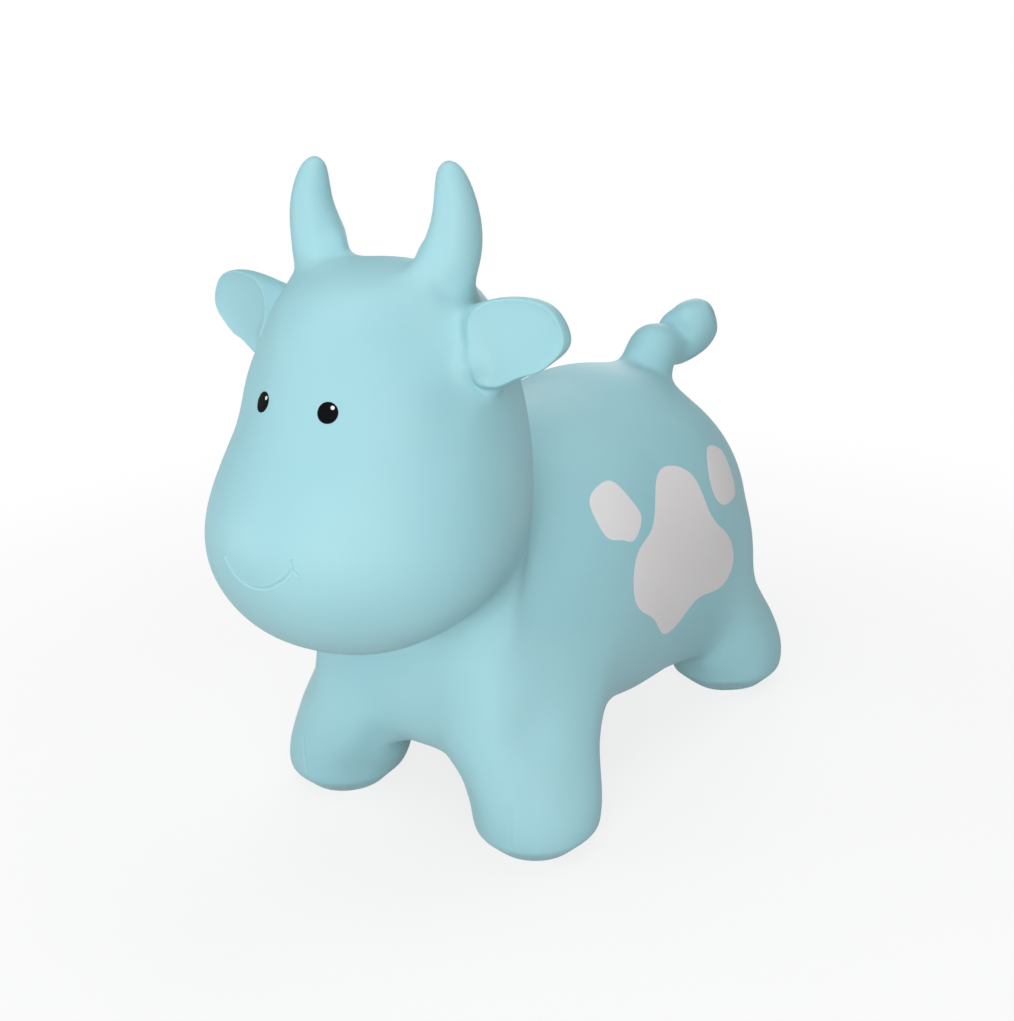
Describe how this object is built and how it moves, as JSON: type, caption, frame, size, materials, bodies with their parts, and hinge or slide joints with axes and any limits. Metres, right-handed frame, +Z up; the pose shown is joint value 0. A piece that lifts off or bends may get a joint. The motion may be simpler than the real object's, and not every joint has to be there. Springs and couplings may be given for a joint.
{
  "type": "inflatable animal hopper",
  "caption": "Inflatable cow hopper: a one-piece hollow vinyl skin with horns, ears, legs and tail, printed eyes and patches, and a pull-out air plug at the rump.",
  "frame": {"origin": "under the middle of the bounding box, on the floor that the soles stand on", "axes": "+Z up, the cow looks along -Y, its left side is +X"},
  "size_m": [0.3202, 0.6364, 0.5315],
  "materials": {
    "aqua_vinyl": "satin soft vinyl",
    "white_print": "matt print",
    "black_print": "gloss print",
    "glint_print": "gloss print",
    "plug_plastic": "satin"
  },
  "bodies": {
    "hopper": {"skin": "aqua_vinyl", "eye_left": "black_print", "eye_right": "black_print", "eye_glint_left": "glint_print", "eye_glint_right": "glint_print", "patch_front_left": "white_print", "patch_front_right": "white_print", "patch_main_left": "white_print", "patch_main_right": "white_print", "patch_rear_left": "white_print", "patch_rear_right": "white_print"},
    "plug": {"valve_plug": "plug_plastic"}
  },
  "joints": [
    {"name": "plug_pull", "type": "slide", "parent": "hopper", "child": "plug", "axis": [0, 1, 0], "range_m": [0, 0.02]}
  ]
}
